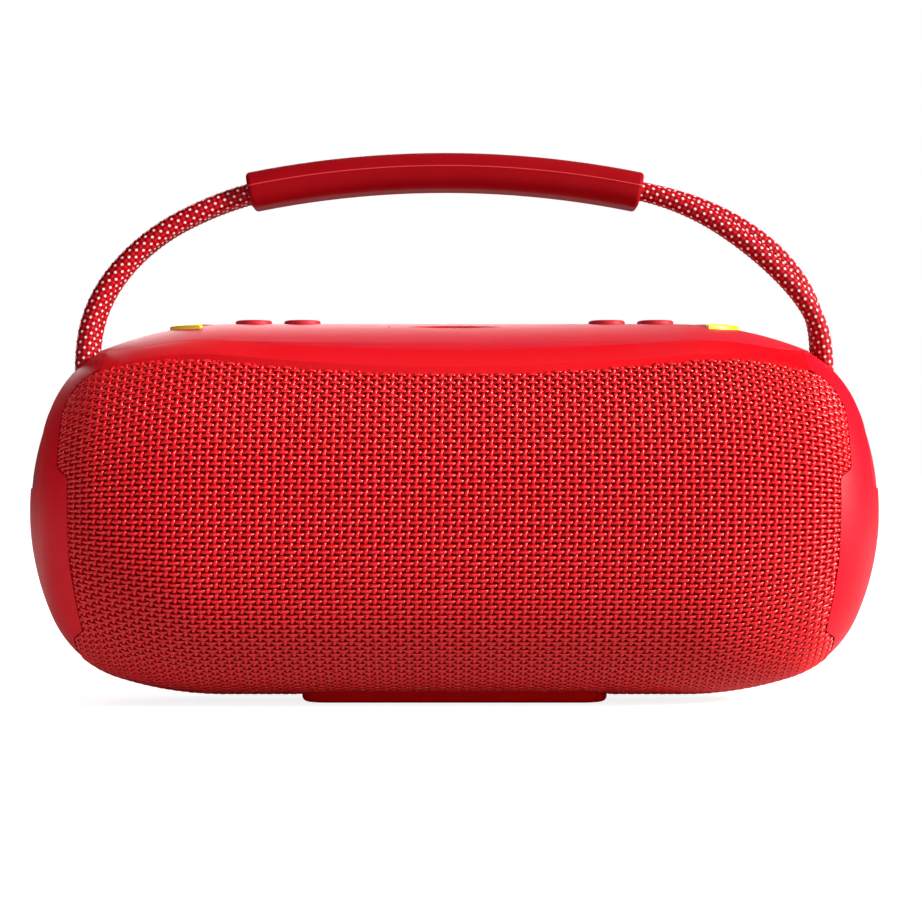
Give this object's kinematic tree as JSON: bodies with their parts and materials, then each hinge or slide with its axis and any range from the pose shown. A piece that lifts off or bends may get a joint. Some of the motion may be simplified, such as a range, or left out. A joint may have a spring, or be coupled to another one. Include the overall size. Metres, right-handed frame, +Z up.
{
  "type": "portable speaker",
  "caption": "Barrel-shaped portable speaker wrapped in coarse woven fabric, with a top control panel, smooth end caps, a long foot and a swinging rope handle with a grip sleeve.",
  "frame": {"origin": "middle of the underside of the foot", "axes": "+X along the barrel, -Y towards the front, +Z up"},
  "size_m": [0.3, 0.1296, 0.1941],
  "materials": {
    "shell_plastic": "fine moulded texture",
    "speaker_fabric": "coarse plain weave of round yarns, slightly glossy",
    "foot_rubber": "matte moulded rubber",
    "band_gloss": "smooth semi-gloss",
    "panel_matte": "soft-touch matte",
    "window_tint": "translucent dark red",
    "accent_yellow": "smooth",
    "button_matte": "soft-touch matte",
    "circuit_board": "solder mask",
    "black_plastic": "moulded",
    "steel": "zinc plated",
    "cap_satin": "satin",
    "inlay_dark": "satin",
    "rope_braid": "tight braid with white flecks",
    "grip_rubber": "matte moulded rubber",
    "cover_rubber": "matte moulded rubber",
    "dome_silk": "coated silk",
    "aluminium_plate": "satin",
    "surround_rubber": "smooth",
    "cell_wrap": "shrink film",
    "basket_steel": "black paint",
    "magnet_ferrite": "ferrite",
    "cone_paper": "treated paper"
  },
  "bodies": {
    "housing": {"front_shell": "shell_plastic", "rear_shell": "shell_plastic", "fabric_wrap": "speaker_fabric", "foot": "foot_rubber", "top_frame": "band_gloss", "control_panel": "panel_matte", "indicator_window": "window_tint", "accent_left": "accent_yellow", "accent_right": "accent_yellow", "button_board": "circuit_board", "button_switches": "black_plastic", "button_board_screws": "steel", "end_cap_left": "cap_satin", "end_cap_right": "cap_satin", "end_inlay_left": "inlay_dark", "end_inlay_right": "inlay_dark", "rope_clamp_left": "black_plastic", "rope_clamp_right": "black_plastic", "port_panel": "shell_plastic", "usb_socket": "steel", "aux_socket": "black_plastic", "port_board": "circuit_board", "front_baffle": "black_plastic", "rear_baffle": "black_plastic", "woofer_screws": "steel", "tweeter_frame": "black_plastic", "tweeter_dome": "dome_silk", "tweeter_screws": "steel", "radiator_surround": "surround_rubber", "battery_cells": "cell_wrap", "battery_tray": "black_plastic", "main_board": "circuit_board", "main_board_screws": "steel", "woofer_frame_left": "basket_steel", "woofer_magnet_left": "magnet_ferrite", "woofer_surround_left": "surround_rubber", "woofer_frame_right": "basket_steel", "woofer_magnet_right": "magnet_ferrite", "woofer_surround_right": "surround_rubber"},
    "handle": {"grip": "grip_rubber", "rope_front": "rope_braid", "rope_rear": "rope_braid"},
    "port_cover": {"port_cover": "cover_rubber"},
    "radiator": {"radiator_plate": "aluminium_plate"},
    "cone_left": {"woofer_cone_left": "cone_paper"},
    "cone_right": {"woofer_cone_right": "cone_paper"},
    "button_power": {"button_power": "button_matte"},
    "button_pairing": {"button_pairing": "button_matte"},
    "button_volume_down": {"button_volume_down": "button_matte"},
    "button_volume_up": {"button_volume_up": "button_matte"},
    "button_link": {"button_link": "button_matte"},
    "button_play": {"button_play": "button_matte"}
  },
  "joints": [
    {"name": "button_power_press", "type": "slide", "parent": "housing", "child": "button_power", "axis": [0, 0, -1], "range_m": [0, 0.0006], "stiffness_N_per_m": 400},
    {"name": "button_pairing_press", "type": "slide", "parent": "housing", "child": "button_pairing", "axis": [0, 0, -1], "range_m": [0, 0.0006], "stiffness_N_per_m": 400},
    {"name": "button_volume_down_press", "type": "slide", "parent": "housing", "child": "button_volume_down", "axis": [0, 0, -1], "range_m": [0, 0.0006], "stiffness_N_per_m": 400},
    {"name": "button_volume_up_press", "type": "slide", "parent": "housing", "child": "button_volume_up", "axis": [0, 0, -1], "range_m": [0, 0.0006], "stiffness_N_per_m": 400},
    {"name": "button_link_press", "type": "slide", "parent": "housing", "child": "button_link", "axis": [0, 0, -1], "range_m": [0, 0.0006], "stiffness_N_per_m": 400},
    {"name": "button_play_press", "type": "slide", "parent": "housing", "child": "button_play", "axis": [0, 0, -1], "range_m": [0, 0.0006], "stiffness_N_per_m": 400},
    {"name": "handle_swing", "type": "hinge", "parent": "housing", "child": "handle", "pos_m": [0, 0, 0.1194], "axis": [1, 0, 0], "range_deg": [-60, 60], "stiffness_Nm_per_rad": 0.25, "deforming": ["rope_front", "rope_rear"]},
    {"name": "port_cover_hinge", "type": "hinge", "parent": "housing", "child": "port_cover", "pos_m": [0, 0.05438, 0.032], "axis": [-1, 0, 0], "range_deg": [0, 110]},
    {"name": "cone_left_stroke", "type": "slide", "parent": "housing", "child": "cone_left", "axis": [0, -1, 0], "range_m": [-0.0015, 0.0015], "stiffness_N_per_m": 800, "deforming": ["woofer_surround_left"]},
    {"name": "cone_right_stroke", "type": "slide", "parent": "housing", "child": "cone_right", "axis": [0, -1, 0], "range_m": [-0.0015, 0.0015], "stiffness_N_per_m": 800, "deforming": ["woofer_surround_right"]},
    {"name": "radiator_stroke", "type": "slide", "parent": "housing", "child": "radiator", "axis": [0, 1, 0], "range_m": [-0.0015, 0.0015], "stiffness_N_per_m": 1200, "deforming": ["radiator_surround"]}
  ]
}
